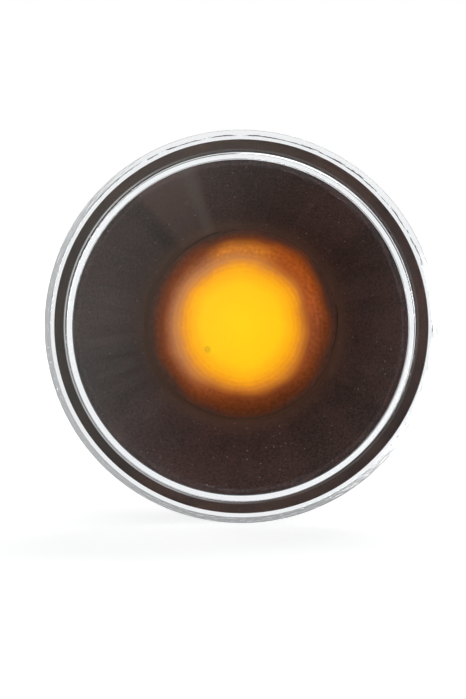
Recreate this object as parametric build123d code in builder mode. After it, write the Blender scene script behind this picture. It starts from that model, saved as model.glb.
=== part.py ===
from build123d import *
import os

# Side repeater lamp that is pushed into a round hole in a car's wing.
# Millimetres. The lamp's axis is Y, and depths run rearwards along +Y.
# The origin is the centre of the panel's outer face. The lens looks along -Y, and +Z is up.

os.makedirs("parts", exist_ok=True)

# Panel and the lamp's fit in its hole
panel_thickness = 1.0
hole_clearance = 0.3
catch_overlap = 0.8
catch_clearance = 0.15

# Lens: a flat face on a step, a flange, and a skirt behind the flange
skirt_inner_radius = 20.5
skirt_wall = 0.83
skirt_short = 0.3
step_inset = 0.21
step_height = 3.0
lens_wall = 2.2
flange_thickness = 1.4
flange_margin = 1.12
face_edge_chamfer = 0.12
flange_bevel_width = 0.75
flange_bevel_drop = 0.25

# Gasket between the flange and the panel
gasket_thickness = 1.8
gasket_width = 1.48
gasket_clearance = 0.07

# Housing: rim inside the lens skirt, conical dish, funnel and bayonet plate
rim_clearance = 0.1
rim_land = 0.8
spigot_step = 1.2
spigot_wall = 1.4
spigot_short = 0.1
dish_wall = 2.4
throat_depth = 3.0
throat_chamfer = 0.6
funnel_wall = 1.5
plate_depth = 23.3
plate_thickness = 2.5
collar_height = 2.6
collar_wall = 1.1
rib_thickness = 1.4
rib_setback = 0.6
rib_rear_depth = 13.0
rib_spacing_angle = 45
wall_bite = 0.3

# Snap arms: rooted at the rear of the funnel, with free front ends that catch behind the panel
arm_count = 2
arm_thickness = 1.5
arm_standoff = 1.4
arm_root_depth = 20.0
arm_bridge = 2.0
arm_span_angle = 26
arm_fillet = 0.7
nose_chamfer = 0.3

# Bayonet between the plate and the bulb holder
barrel_radius = 8.0
bore_clearance = 0.08
lug_count = 3
lug_angle = 90
lug_reach = 2.0
lug_width = 4.0
lug_thickness = 1.6
lug_gap = 0.1
notch_clearance = 0.3
stop_width = 1.6
stop_gap = 0.3
twist_angle = 45

# Amber cap over the bulb, seated on the plate
cap_base_wall = 1.4
cap_base_clearance = 0.4
cap_fit_clearance = 0.1
cap_step = 0.3
cap_wall = 1.5
cap_shoulder = 2.6
cap_bulb_gap = 1.0

# Wedge-base bulb
bulb_radius = 5.15
bulb_length = 26.8
bulb_wall = 0.6
bulb_tip_flat = 1.6
wedge_length = 8.6
wedge_width = 9.5
wedge_thickness = 2.1
wedge_pad_height = 0.25
wedge_pad_length = 2.0
wedge_pad_width = 0.9
pinch_length = 3.6
filament_drop = 6.1
filament_radius = 0.4
filament_gap = 0.02
lead_wire_radius = 0.25
lead_spacing = 5.0
lead_fold_length = 4.5
lead_gap = 0.02
post_overrun = 0.5

# Bulb holder: barrel with a pocket, flange, plug shroud and grip wings
holder_nose = 1.3
bulb_stand_off = 0.1
pocket_clearance = 0.3
pocket_floor_gap = 0.3
pocket_floor_wall = 0.8
flange_gap = 0.3
holder_edge_chamfer = 0.4
web_thickness = 2.2
shroud_inner_width = 11.0
shroud_inner_height = 7.2
shroud_wall = 1.3
shroud_depth = 10.0
shroud_fillet = 1.2
latch_width = 4.0
latch_height = 1.2
latch_length = 3.2
latch_setback = 1.5
wing_thickness = 2.4
wing_length = 8.0
wing_inset = 0.7
wing_fillet = 1.2
grip_count = 3
grip_pitch = 1.3
grip_width = 0.6
grip_length = 3.2
grip_height = 0.3

# Seal under the holder's flange
seal_thickness = 1.6
seal_gap = 0.05
seal_inset = 0.8
seal_fit = 0.05

# Brass contacts, each a spring leaf in the pocket and a blade in the shroud
strip_thickness = 0.5
leaf_width = 7.0
leaf_gap = 0.02
leaf_flat = 1.8
leaf_flare = 0.75
leaf_flare_length = 2.0
leaf_bend = 0.8
blade_width = 2.8
blade_spacing = 5.5
blade_length = 8.0
blade_slot_clearance = 0.05
blade_tip_chamfer = 0.7

# Radii that follow from the lens
skirt_outer_radius = skirt_inner_radius + skirt_wall
step_radius = skirt_outer_radius - step_inset
gasket_inner_radius = skirt_outer_radius + gasket_clearance
gasket_outer_radius = gasket_inner_radius + gasket_width
flange_radius = gasket_outer_radius + flange_margin
rim_radius = skirt_inner_radius - rim_clearance
dish_radius = rim_radius - rim_land
spigot_radius = rim_radius - spigot_step
panel_hole_radius = spigot_radius + hole_clearance
nose_radius = panel_hole_radius + catch_overlap

# Radii that follow from the bulb holder
bore_radius = barrel_radius + bore_clearance
lug_radius = barrel_radius + lug_reach
notch_radius = lug_radius + notch_clearance
cap_base_inner_radius = lug_radius + cap_base_clearance
cap_base_radius = cap_base_inner_radius + cap_base_wall
cap_radius = cap_base_radius - cap_step
throat_radius = cap_base_radius + cap_fit_clearance
funnel_radius = throat_radius + funnel_wall
collar_inner_radius = funnel_radius - collar_wall
holder_flange_radius = collar_inner_radius - flange_gap
seal_radius = holder_flange_radius - seal_inset
arm_root_radius = funnel_radius + arm_standoff + arm_thickness

# Depths from the lens face to the plate
flange_front = -gasket_thickness - flange_thickness
face_depth = flange_front - step_height
rim_front = face_depth + lens_wall
catch_depth = panel_thickness + catch_clearance
spigot_rear = panel_thickness - spigot_short
plate_rear = plate_depth + plate_thickness
collar_rear = plate_rear + collar_height

# Depths of the bulb and its holder
lug_rear = plate_depth - lug_gap
lug_front = lug_rear - lug_thickness
holder_front = lug_front - holder_nose
wedge_front = holder_front - bulb_stand_off
wedge_end = wedge_front + wedge_length
pinch_front = wedge_front - pinch_length
bulb_tip_depth = wedge_end - bulb_length
filament_depth = bulb_tip_depth + filament_drop
lead_fold_radius = (wedge_thickness / 2 + lead_wire_radius + lead_gap) / 2
pocket_floor = wedge_end + lead_fold_radius + lead_wire_radius + pocket_floor_gap
holder_flange_front = plate_rear + seal_gap + seal_thickness
holder_flange_rear = pocket_floor + pocket_floor_wall
shroud_floor = holder_flange_rear + web_thickness
shroud_rear = shroud_floor + shroud_depth
cap_top_inner = bulb_tip_depth - cap_bulb_gap
cap_top = cap_top_inner - cap_wall
cap_inner_step = lug_front - cap_base_clearance
cap_base_front = cap_inner_step - cap_wall

# Widths of the plug shroud
shroud_width = shroud_inner_width + 2 * shroud_wall
shroud_height = shroud_inner_height + 2 * shroud_wall
leaf_face = 2 * lead_fold_radius + lead_wire_radius + leaf_gap
leaf_line = leaf_face + strip_thickness / 2
blade_line = blade_spacing / 2
pocket_half_thickness = blade_line + strip_thickness / 2 + pocket_clearance
pocket_width = wedge_width + 2 * pocket_clearance


def across(depth):
    """A plane square to the lamp's axis, seen from behind, whose extrusions go rearwards."""
    return Plane(origin=(0, depth, 0), x_dir=(-1, 0, 0), z_dir=(0, 1, 0))


def around(angle):
    """The half-section plane, radius by depth, turned about the lamp's axis."""
    return Plane.XY.rotated((0, angle, 0))


def corner(profile, radius, depth):
    """The corner of a section nearest to a radius and a depth."""
    return profile.vertices().sort_by_distance((radius, depth, 0))[0]


def dish_depth(radius):
    """Depth of the dish's front surface, a cone from the rim to the throat."""
    slope = (throat_depth - rim_front) / (dish_radius - throat_radius)
    return rim_front + slope * (dish_radius - radius)


def arm_radius(depth):
    """Radius of a snap arm's outer face, which slopes in from the nose to the root."""
    share = (depth - catch_depth) / (arm_root_depth - catch_depth)
    return nose_radius + share * (arm_root_radius - nose_radius)


# Lens
with BuildPart() as lens:
    with BuildSketch() as lens_section:
        with BuildLine():
            Polyline(
                (0, face_depth),
                (step_radius, face_depth),
                (step_radius, flange_front),
                (flange_radius - flange_bevel_width, flange_front),
                (flange_radius, flange_front + flange_bevel_drop),
                (flange_radius, -gasket_thickness),
                (skirt_outer_radius, -gasket_thickness),
                (skirt_outer_radius, -skirt_short),
                (skirt_inner_radius, -skirt_short),
                (skirt_inner_radius, rim_front),
                (0, rim_front),
                close=True,
            )
        make_face()
        chamfer(corner(lens_section, step_radius, face_depth), face_edge_chamfer)
    revolve(axis=Axis.Y)
lens.part.label = "lens"
export_step(lens.part, "parts/lens.step")

# Gasket
with BuildPart() as gasket:
    with BuildSketch():
        with Locations((gasket_inner_radius, 0)):
            Rectangle(gasket_width, gasket_thickness, align=(Align.MIN, Align.MAX))
    revolve(axis=Axis.Y)
gasket.part.label = "gasket"
export_step(gasket.part, "parts/gasket.step")

# Housing
with BuildPart() as housing:
    with BuildSketch() as housing_section:
        with BuildLine():
            spigot_inner_radius = spigot_radius - spigot_wall
            Polyline(
                (rim_radius, rim_front),
                (dish_radius, rim_front),
                (throat_radius, throat_depth),
                (throat_radius, plate_depth),
                (bore_radius, plate_depth),
                (bore_radius, plate_rear),
                (collar_inner_radius, plate_rear),
                (collar_inner_radius, collar_rear),
                (funnel_radius, collar_rear),
                (funnel_radius, dish_depth(funnel_radius) + dish_wall),
                (spigot_inner_radius, dish_depth(spigot_inner_radius) + dish_wall),
                (spigot_inner_radius, spigot_rear),
                (spigot_radius, spigot_rear),
                (spigot_radius, -skirt_short),
                (rim_radius, -skirt_short),
                close=True,
            )
        make_face()
        chamfer(corner(housing_section, throat_radius, throat_depth), throat_chamfer)
    revolve(axis=Axis.Y)

    # Bayonet notches through the plate, where the lugs stand after the twist
    with BuildSketch(across(plate_depth)):
        with PolarLocations(0, lug_count, start_angle=lug_angle + twist_angle):
            Rectangle(2 * notch_radius, lug_width + 2 * notch_clearance, align=(Align.MIN, Align.CENTER))
        Circle(notch_radius, mode=Mode.INTERSECT)
    extrude(amount=plate_thickness, mode=Mode.SUBTRACT)

    # Stops on the plate's front face, against which the lugs lock
    with BuildSketch(across(lug_front)):
        with PolarLocations(0, lug_count, start_angle=lug_angle):
            with Locations((0, -(lug_width + stop_width) / 2 - stop_gap)):
                Rectangle(2 * lug_radius, stop_width, align=(Align.MIN, Align.CENTER))
        Circle(lug_radius, mode=Mode.INTERSECT)
        Circle(bore_radius, mode=Mode.SUBTRACT)
    extrude(amount=plate_depth - lug_front)

    # Radial ribs from the spigot to the funnel, clear of the snap arms
    rib_angles = [a for a in range(0, 360, rib_spacing_angle) if a % (360 // arm_count)]
    rib_top_radius = spigot_radius - rib_setback
    for angle in rib_angles:
        with BuildSketch(around(angle)):
            with BuildLine():
                Polyline(
                    (funnel_radius - wall_bite, rib_rear_depth),
                    (rib_top_radius, spigot_rear),
                    (rib_top_radius, dish_depth(rib_top_radius) + dish_wall / 2),
                    (funnel_radius - wall_bite, dish_depth(funnel_radius) + dish_wall / 2),
                    close=True,
                )
            make_face()
        extrude(amount=rib_thickness / 2, both=True)

    # Snap arms
    bridge_front = arm_root_depth - arm_bridge
    for angle in range(0, 360, 360 // arm_count):
        with BuildSketch(around(angle - arm_span_angle / 2)) as arm_section:
            with BuildLine():
                Polyline(
                    (nose_radius, catch_depth),
                    (arm_root_radius, arm_root_depth),
                    (funnel_radius - wall_bite, arm_root_depth),
                    (funnel_radius - wall_bite, bridge_front),
                    (arm_radius(bridge_front) - arm_thickness, bridge_front),
                    (nose_radius - arm_thickness, catch_depth),
                    close=True,
                )
            make_face()
            fillet(corner(arm_section, arm_radius(bridge_front) - arm_thickness, bridge_front), arm_fillet)
            chamfer(corner(arm_section, nose_radius, catch_depth), nose_chamfer)
        revolve(axis=Axis.Y, revolution_arc=arm_span_angle)
housing.part.label = "housing"
export_step(housing.part, "parts/housing.step")

# Amber cap
with BuildPart() as amber_cap:
    with BuildSketch() as cap_section:
        with BuildLine():
            Polyline(
                (0, cap_top),
                (cap_radius, cap_top),
                (cap_radius, cap_base_front),
                (cap_base_radius, cap_base_front),
                (cap_base_radius, plate_depth),
                (cap_base_inner_radius, plate_depth),
                (cap_base_inner_radius, cap_inner_step),
                (cap_radius - cap_wall, cap_inner_step),
                (cap_radius - cap_wall, cap_top_inner),
                (0, cap_top_inner),
                close=True,
            )
        make_face()
        cap_corners = [
            corner(cap_section, cap_radius, cap_top),
            corner(cap_section, cap_radius - cap_wall, cap_top_inner),
        ]
        chamfer(cap_corners, cap_shoulder)
    revolve(axis=Axis.Y)
amber_cap.part.label = "amber_cap"
export_step(amber_cap.part, "parts/amber_cap.step")

# Lead wires: posts that stand in the bulb, pass through its pinch and fold over the wedge base
lead_wires = []
for side, angle in (("right", 0), ("left", 180)):
    with BuildPart() as lead_wire:
        with BuildLine(around(angle).offset(lead_spacing / 2)) as lead_path:
            Polyline(
                (0, filament_depth - post_overrun),
                (0, wedge_end + lead_fold_radius),
                (2 * lead_fold_radius, wedge_end + lead_fold_radius),
                (2 * lead_fold_radius, wedge_end - lead_fold_length),
            )
        with BuildSketch(Plane(origin=lead_path.line @ 0, z_dir=lead_path.line % 0)):
            Circle(lead_wire_radius)
        sweep(transition=Transition.RIGHT)
    lead_wire.part.label = f"lead_wire_{side}"
    export_step(lead_wire.part, f"parts/lead_wire_{side}.step")
    lead_wires.append(lead_wire.part)

# Filament: the coil's outer form, from post to post
with BuildPart() as filament:
    with BuildSketch(Plane.XY):
        with Locations((0, filament_depth)):
            Circle(filament_radius)
    extrude(amount=lead_spacing / 2 - lead_wire_radius - filament_gap, both=True)
filament.part.label = "filament"
export_step(filament.part, "parts/filament.step")

# Bulb: a blown envelope whose open end is pinched flat into the wedge base
with BuildPart() as bulb_glass:
    with BuildSketch() as envelope_section:
        with Locations((0, bulb_tip_depth)):
            Rectangle(bulb_radius, wedge_front - bulb_tip_depth, align=Align.MIN)
        chamfer(corner(envelope_section, bulb_radius, bulb_tip_depth), bulb_radius - bulb_tip_flat)
    revolve(axis=Axis.Y)
    for angle in (0, 180):
        with BuildSketch(around(angle)):
            with BuildLine():
                Polyline(
                    (bulb_radius, pinch_front),
                    (wedge_thickness / 2, wedge_front),
                    (bulb_radius, wedge_front),
                    close=True,
                )
            make_face()
        extrude(amount=bulb_radius, both=True, mode=Mode.SUBTRACT)
    with BuildSketch(across(wedge_front)):
        Rectangle(wedge_thickness, wedge_width)
    extrude(amount=wedge_length)

    # Raised pads at the wedge's edges that keep it straight in the pocket
    with BuildSketch(across(wedge_front + wedge_length / 2)):
        with GridLocations(0, wedge_width - wedge_pad_width, 1, 2):
            Rectangle(wedge_thickness + 2 * wedge_pad_height, wedge_pad_width)
    extrude(amount=wedge_pad_length)

    with BuildSketch() as cavity_section:
        cavity_radius = bulb_radius - bulb_wall
        cavity_tip = bulb_tip_depth + bulb_wall
        with Locations((0, cavity_tip)):
            Rectangle(cavity_radius, pinch_front - cavity_tip, align=Align.MIN)
        chamfer(corner(cavity_section, cavity_radius, cavity_tip), cavity_radius - bulb_tip_flat)
    revolve(axis=Axis.Y, mode=Mode.SUBTRACT)
    add(lead_wires, mode=Mode.SUBTRACT)
bulb_glass.part.label = "bulb_glass"
export_step(bulb_glass.part, "parts/bulb_glass.step")

# Bulb holder
with BuildPart() as bulb_holder:
    with BuildSketch() as holder_section:
        with BuildLine():
            Polyline(
                (0, holder_front),
                (barrel_radius, holder_front),
                (barrel_radius, holder_flange_front),
                (holder_flange_radius, holder_flange_front),
                (holder_flange_radius, holder_flange_rear),
                (0, holder_flange_rear),
                close=True,
            )
        make_face()
        chamfer(corner(holder_section, barrel_radius, holder_front), holder_edge_chamfer)
        chamfer(corner(holder_section, holder_flange_radius, holder_flange_rear), holder_edge_chamfer)
    revolve(axis=Axis.Y)

    # Plug shroud behind the flange
    with BuildSketch(across(holder_flange_rear)):
        RectangleRounded(shroud_width, shroud_height, shroud_fillet + shroud_wall)
    extrude(amount=shroud_rear - holder_flange_rear)
    with BuildSketch(across(shroud_floor)):
        RectangleRounded(shroud_inner_width, shroud_inner_height, shroud_fillet)
    extrude(amount=shroud_depth, mode=Mode.SUBTRACT)

    # Pocket for the wedge base and the contacts, with a slot for each blade in its floor
    with BuildSketch(across(holder_front)):
        Rectangle(2 * pocket_half_thickness, pocket_width)
    extrude(amount=pocket_floor - holder_front, mode=Mode.SUBTRACT)
    with BuildSketch(across(pocket_floor)):
        with GridLocations(blade_spacing, 0, 2, 1):
            Rectangle(strip_thickness + 2 * blade_slot_clearance, blade_width + 2 * blade_slot_clearance)
    extrude(amount=shroud_floor - pocket_floor, mode=Mode.SUBTRACT)

    # Bayonet lugs
    with BuildSketch(across(lug_front)):
        with PolarLocations(0, lug_count, start_angle=lug_angle):
            Rectangle(2 * lug_radius, lug_width, align=(Align.MIN, Align.CENTER))
        Circle(lug_radius, mode=Mode.INTERSECT)
        Circle(barrel_radius - wall_bite, mode=Mode.SUBTRACT)
    extrude(amount=lug_thickness)

    # Grip wings beside the shroud, with ribs for the fingers
    with BuildSketch() as wing_section:
        wing_root = shroud_width / 2 - wall_bite
        wing_tip = holder_flange_radius - wing_inset
        wing_rear = holder_flange_rear + wing_length
        with BuildLine():
            Polyline(
                (wing_root, holder_flange_rear - wall_bite),
                (wing_tip, holder_flange_rear - wall_bite),
                (wing_tip, holder_flange_rear + wing_length / 2),
                ((wing_root + wing_tip) / 2, wing_rear),
                (wing_root, wing_rear),
                close=True,
            )
        make_face()
        wing_corners = [
            corner(wing_section, wing_tip, holder_flange_rear + wing_length / 2),
            corner(wing_section, (wing_root + wing_tip) / 2, wing_rear),
        ]
        fillet(wing_corners, wing_fillet)
    wing = extrude(amount=wing_thickness / 2, both=True)
    mirror(wing, about=Plane.YZ)
    with BuildSketch():
        with Locations(((wing_root + wing_tip) / 2, holder_flange_rear + wing_length * 0.3)):
            with GridLocations(0, grip_pitch, 1, grip_count):
                Rectangle(grip_length, grip_width)
    grips = extrude(amount=wing_thickness / 2 + grip_height, both=True)
    mirror(grips, about=Plane.YZ)

    # Ramp on top of the shroud for the plug's latch
    with BuildSketch(Plane.YZ):
        latch_rear = shroud_rear - latch_setback
        with BuildLine():
            Polyline(
                (latch_rear, shroud_height / 2 - wall_bite),
                (latch_rear - latch_length, shroud_height / 2 - wall_bite),
                (latch_rear - latch_length, shroud_height / 2 + latch_height),
                (latch_rear, shroud_height / 2),
                close=True,
            )
        make_face()
    extrude(amount=latch_width / 2, both=True)
bulb_holder.part.label = "bulb_holder"
export_step(bulb_holder.part, "parts/bulb_holder.step")

# Seal
with BuildPart() as holder_seal:
    with BuildSketch():
        with Locations((barrel_radius + seal_fit, holder_flange_front)):
            Rectangle(seal_radius - barrel_radius - seal_fit, seal_thickness, align=(Align.MIN, Align.MAX))
    revolve(axis=Axis.Y)
holder_seal.part.label = "holder_seal"
export_step(holder_seal.part, "parts/holder_seal.step")

# Contacts
leaf_rear = wedge_end - leaf_flat
leaf_front = leaf_rear - leaf_flat
blade_tip = shroud_floor + blade_length
for side, angle in (("right", 0), ("left", 180)):
    with BuildPart() as contact:
        with BuildSketch(around(angle)):
            with BuildLine():
                FilletPolyline(
                    (blade_line, pocket_floor),
                    (blade_line, wedge_end),
                    (leaf_line, leaf_rear),
                    (leaf_line, leaf_front),
                    (leaf_line + leaf_flare, leaf_front - leaf_flare_length),
                    radius=leaf_bend,
                )
            trace(line_width=strip_thickness)
        extrude(amount=leaf_width / 2, both=True)
        blade_plane = Plane(origin=(0, 0, 0), x_dir=-around(angle).z_dir, z_dir=around(angle).x_dir)
        with BuildSketch(blade_plane.offset(blade_line)) as blade_outline:
            with Locations((0, pocket_floor)):
                Rectangle(blade_width, blade_tip - pocket_floor, align=(Align.CENTER, Align.MIN))
            chamfer(blade_outline.vertices().group_by(Axis.Y)[-1], blade_tip_chamfer)
        extrude(amount=strip_thickness / 2, both=True)
    contact.part.label = f"contact_{side}"
    export_step(contact.part, f"parts/contact_{side}.step")
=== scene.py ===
import bpy
import bmesh
from math import cos, pi, radians, sin, sqrt, tan
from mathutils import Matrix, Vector


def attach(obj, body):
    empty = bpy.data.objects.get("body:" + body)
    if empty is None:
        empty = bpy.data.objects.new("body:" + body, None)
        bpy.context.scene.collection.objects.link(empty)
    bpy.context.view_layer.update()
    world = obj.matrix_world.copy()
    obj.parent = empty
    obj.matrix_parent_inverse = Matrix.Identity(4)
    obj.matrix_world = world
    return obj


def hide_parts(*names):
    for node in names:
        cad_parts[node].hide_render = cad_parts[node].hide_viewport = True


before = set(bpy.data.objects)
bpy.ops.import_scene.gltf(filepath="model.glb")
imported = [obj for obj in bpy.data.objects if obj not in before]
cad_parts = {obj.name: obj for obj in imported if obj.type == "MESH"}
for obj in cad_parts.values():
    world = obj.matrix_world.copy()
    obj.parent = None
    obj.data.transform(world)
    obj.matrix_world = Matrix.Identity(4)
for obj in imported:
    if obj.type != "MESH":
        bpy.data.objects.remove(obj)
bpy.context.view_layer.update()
scene = bpy.context.scene
mm = 0.001


# Small helpers for colours and nodes

def linear(hexText):
    parts = [int(hexText[i:i + 2], 16) / 255 for i in (1, 3, 5)]
    return tuple(c / 12.92 if c <= 0.04045 else ((c + 0.055) / 1.055) ** 2.4 for c in parts) + (1.0,)


def grey(value):
    return (value, value, value, 1.0)


# Adds a node, sets it up and links it. A node given as an input stands for its first output.
def addNode(tree, kind, inputs=None, stops=None, **settings):
    node = tree.nodes.new(kind)
    for key, value in settings.items():
        setattr(node, key, value)
    for key, value in (inputs or {}).items():
        if isinstance(value, bpy.types.Node):
            value = value.outputs[0]
        if isinstance(value, bpy.types.NodeSocket):
            tree.links.new(value, node.inputs[key])
        else:
            node.inputs[key].default_value = value
    for i, (spot, colour) in enumerate(stops or []):
        stop = node.color_ramp.elements[i] if i < 2 else node.color_ramp.elements.new(spot)
        stop.position = spot
        stop.color = colour
    return node


# A new material, its empty tree, and the place on the piece that its patterns read
def startMaterial(name):
    material = bpy.data.materials.new(name)
    material.use_nodes = True
    tree = material.node_tree
    tree.nodes.clear()
    return material, tree, addNode(tree, "ShaderNodeTexCoord").outputs["Object"]


# How far a place lies from the lamp's axis, and in which direction
def aboutAxis(tree, place):
    flat = addNode(tree, "ShaderNodeVectorMath", {0: place, 1: (1, 0, 1)}, operation="MULTIPLY")
    radius = addNode(tree, "ShaderNodeVectorMath", {0: flat}, operation="LENGTH").outputs["Value"]
    spoke = addNode(tree, "ShaderNodeVectorMath", {0: flat}, operation="NORMALIZE")
    return radius, spoke


# Small helpers for meshes and pieces

# Rounds the corners of a closed outline of (radius, depth, fillet) in mm. A point just beyond each end of a
# fillet keeps the shading of the flat beside it flat, and a fillet takes less than half of an edge.
def roundedOutline(corners, steps=6, hold=0.02, edgeShare=0.49):
    points = []
    for i, (r, y, fillet) in enumerate(corners):
        here = Vector((r, y))
        if fillet <= 0:
            points.append(here)
            continue
        back = Vector(corners[i - 1][:2]) - here
        ahead = Vector(corners[(i + 1) % len(corners)][:2]) - here
        half = back.angle(ahead) / 2
        reach = min(fillet / tan(half), back.length * edgeShare - hold, ahead.length * edgeShare - hold)
        radius = reach * tan(half)
        backWay, aheadWay = back.normalized(), ahead.normalized()
        centre = here + (backWay + aheadWay).normalized() * (radius / sin(half))
        first = here + backWay * reach - centre
        last = here + aheadWay * reach - centre
        turn = first.angle_signed(last)
        points.append(here + backWay * (reach + hold))
        for k in range(steps + 1):
            a = -turn * k / steps
            out = first.x * cos(a) - first.y * sin(a)
            along = first.x * sin(a) + first.y * cos(a)
            points.append(centre + Vector((out, along)))
        points.append(here + aheadWay * (reach + hold))
    return points


def meshFrom(bm, name):
    mesh = bpy.data.meshes.new(name)
    bm.to_mesh(mesh)
    bm.free()
    return mesh


# Turns a closed outline about the lamp's axis, which is Y. A point on the axis becomes a single vertex.
def latheMesh(outline, segments):
    bm = bmesh.new()
    angles = [2 * pi * k / segments for k in range(segments)]
    rings = []
    for point in outline:
        r, y = point[0] * mm, point[1] * mm
        if r == 0:
            rings.append([bm.verts.new((0, y, 0))])
        else:
            rings.append([bm.verts.new((r * cos(a), y, r * sin(a))) for a in angles])
    for i, ring in enumerate(rings):
        after = rings[(i + 1) % len(rings)]
        if len(ring) == 1 and len(after) == 1:
            continue
        for k in range(segments):
            n = (k + 1) % segments
            corners = [ring[k % len(ring)], after[k % len(after)], after[n % len(after)], ring[n % len(ring)]]
            bm.faces.new(list(dict.fromkeys(corners)))
    bmesh.ops.recalc_face_normals(bm, faces=bm.faces[:])
    return meshFrom(bm, "lathe")


def addObject(name, data):
    thing = bpy.data.objects.new(name, data)
    scene.collection.objects.link(thing)
    return thing


def addPiece(name, mesh, material, body, nodes, sharpAngle=35):
    mesh.name = name
    mesh.materials.clear()
    mesh.materials.append(material)
    mesh.shade_smooth()
    mesh.set_sharp_from_angle(angle=radians(sharpAngle))
    piece = addObject(name, mesh)
    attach(piece, body)
    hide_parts(*nodes)


# Turns an object with modifiers into a plain mesh and removes the object
def frozenMesh(obj):
    graph = bpy.context.evaluated_depsgraph_get()
    mesh = bpy.data.meshes.new_from_object(obj.evaluated_get(graph), depsgraph=graph)
    source = obj.data
    bpy.data.objects.remove(obj)
    if isinstance(source, bpy.types.Mesh):
        bpy.data.meshes.remove(source)
    return mesh


# A copy of a CAD solid with its triangles joined and its sharp edges broken, as a mould or a die leaves them
def softenedMesh(node, width, segments=2, edgeAngle=30, flatAngle=0.3, mergeDistance=1e-6):
    bm = bmesh.new()
    bm.from_mesh(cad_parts[node].data)
    bmesh.ops.remove_doubles(bm, verts=bm.verts[:], dist=mergeDistance)
    bmesh.ops.dissolve_limit(bm, angle_limit=radians(flatAngle), verts=bm.verts[:], edges=bm.edges[:])
    obj = addObject(node + "Soft", meshFrom(bm, node + "Soft"))
    bevel = obj.modifiers.new("brokenEdges", "BEVEL")
    bevel.limit_method = "ANGLE"
    bevel.angle_limit = radians(edgeAngle)
    bevel.width = width * mm
    bevel.segments = segments
    bevel.use_clamp_overlap = True
    bevel.harden_normals = True
    return frozenMesh(obj)


# Materials

smooth = dict(interpolation_type="SMOOTHSTEP")


# Ends a clear material. Light passes straight through it to what it would shade.
def finishClear(tree, look, rough, bump):
    clear = addNode(tree, "ShaderNodeBsdfPrincipled", {
        "Base Color": linear(look["tint"]), "Transmission Weight": 1.0, "IOR": look["ior"],
        "Roughness": rough, "Normal": bump})
    path = addNode(tree, "ShaderNodeLightPath").outputs
    passing = addNode(tree, "ShaderNodeBsdfTransparent", {"Color": linear(look["tint"])})
    mixed = addNode(tree, "ShaderNodeMixShader", {0: path["Is Shadow Ray"], 1: clear, 2: passing})
    addNode(tree, "ShaderNodeOutputMaterial", {"Surface": mixed})


# Clear polycarbonate, polished in the mould: crisp to look through, with a faint cool cast and with shrink
# lines round its rim
clearLook = dict(tint="#f9fbfd", ior=1.586, hazeMm=1.4, hazeFrom=0.4, hazeTo=0.7, roughHigh=0.012,
                 rimMm=22.9, rimEndMm=23.3, lineMm=0.35, stretchMm=5.0, bump=0.6, bumpMm=0.05)


def makeClearPolycarbonate(look):
    material, tree, place = startMaterial("clearPolycarbonate")
    haze = addNode(tree, "ShaderNodeTexNoise", {
        "Vector": place, "Scale": 1 / (look["hazeMm"] * mm), "Detail": 4.0})
    rough = addNode(tree, "ShaderNodeMapRange", {
        "Value": haze, "From Min": look["hazeFrom"], "From Max": look["hazeTo"], "To Min": 0.0,
        "To Max": look["roughHigh"]})
    radius, spoke = aboutAxis(tree, place)
    rim = addNode(tree, "ShaderNodeMapRange", {
        "Value": radius, "From Min": look["rimMm"] * mm, "From Max": look["rimEndMm"] * mm})
    across = addNode(tree, "ShaderNodeCombineXYZ", {"Y": radius})
    around = addNode(tree, "ShaderNodeVectorMath", {
        0: spoke, 1: [look["stretchMm"] * mm] * 3, 2: across}, operation="MULTIPLY_ADD")
    lines = addNode(tree, "ShaderNodeTexNoise", {
        "Vector": around, "Scale": 1 / (look["lineMm"] * mm), "Detail": 2.0})
    height = addNode(tree, "ShaderNodeMath", {0: lines, 1: rim}, operation="MULTIPLY")
    bump = addNode(tree, "ShaderNodeBump", {
        "Height": height, "Strength": look["bump"], "Distance": look["bumpMm"] * mm})
    finishClear(tree, look, rough, bump)
    return material


# Black ABS from a spark-eroded mould: dark grey with an even grain, pale dust specks and flow marks that fan
# out from the throat, and painted reflection streaks at the upper left. The dish's browner colour is painted
# amber light from the cap.
absLook = dict(dark="#120f0f", light="#332e2d", dishDark="#180e0b", dishLight="#3c2722", paintedStreak="#453934",
               toneFrom=0.38, toneTo=0.62, grainShare=0.8, patchShare=0.14, flowShare=0.05, paintedStreakShare=0.42,
               grainMm=0.28, patchMm=6.0, dishMm=4.5, dishEndMm=5.5,
               flowTurn=3.1, flowScale=4.0, flowFrom=0.44, flowTo=0.56,
               # the painted reflection streaks at the upper left
               paintedStreakToward=(-0.45, 0.0, 0.89), paintedStreakFrom=0.974, paintedStreakTo=0.988, paintedStreakLeast=0.5,
               spillTint="#ffb38b", spill=0.05, spillPower=3.0, capMm=11.8, spillMm=15.5,
               throatMm=12.4, throatEdgeMm=12.8, throatEndMm=23.2,
               speck="#a39890", speckMm=0.8, speckCore=0.04, speckEdge=0.15, speckMost=0.55, speckPower=2.0,
               grainFrom=0.3, grainTo=0.7, roughLow=0.5, roughHigh=0.65, ior=1.53, specular=0.22,
               bump=0.4, bumpMm=0.02)


# Flow marks, and painted reflection streaks: paler lines in a narrow sector at the upper left
def flowMarks(tree, spoke, look):
    turned = addNode(tree, "ShaderNodeMapping", {"Vector": spoke, "Location": (0, look["flowTurn"], 0)})
    fan = addNode(tree, "ShaderNodeTexNoise", {"Vector": turned, "Scale": look["flowScale"], "Detail": 2.0})
    flow = addNode(tree, "ShaderNodeMapRange", {
        "Value": fan, "From Min": look["flowFrom"], "From Max": look["flowTo"]}, **smooth)
    lean = addNode(tree, "ShaderNodeVectorMath", {0: spoke, 1: look["paintedStreakToward"]}, operation="DOT_PRODUCT")
    upper = addNode(tree, "ShaderNodeMapRange", {
        "Value": lean.outputs["Value"], "From Min": look["paintedStreakFrom"], "From Max": look["paintedStreakTo"]}, **smooth)
    streak = addNode(tree, "ShaderNodeMapRange", {"Value": flow, "To Min": look["paintedStreakLeast"], "To Max": 1.0})
    paintedStreak = addNode(tree, "ShaderNodeMath", {0: streak, 1: upper}, operation="MULTIPLY")
    return flow, paintedStreak
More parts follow.
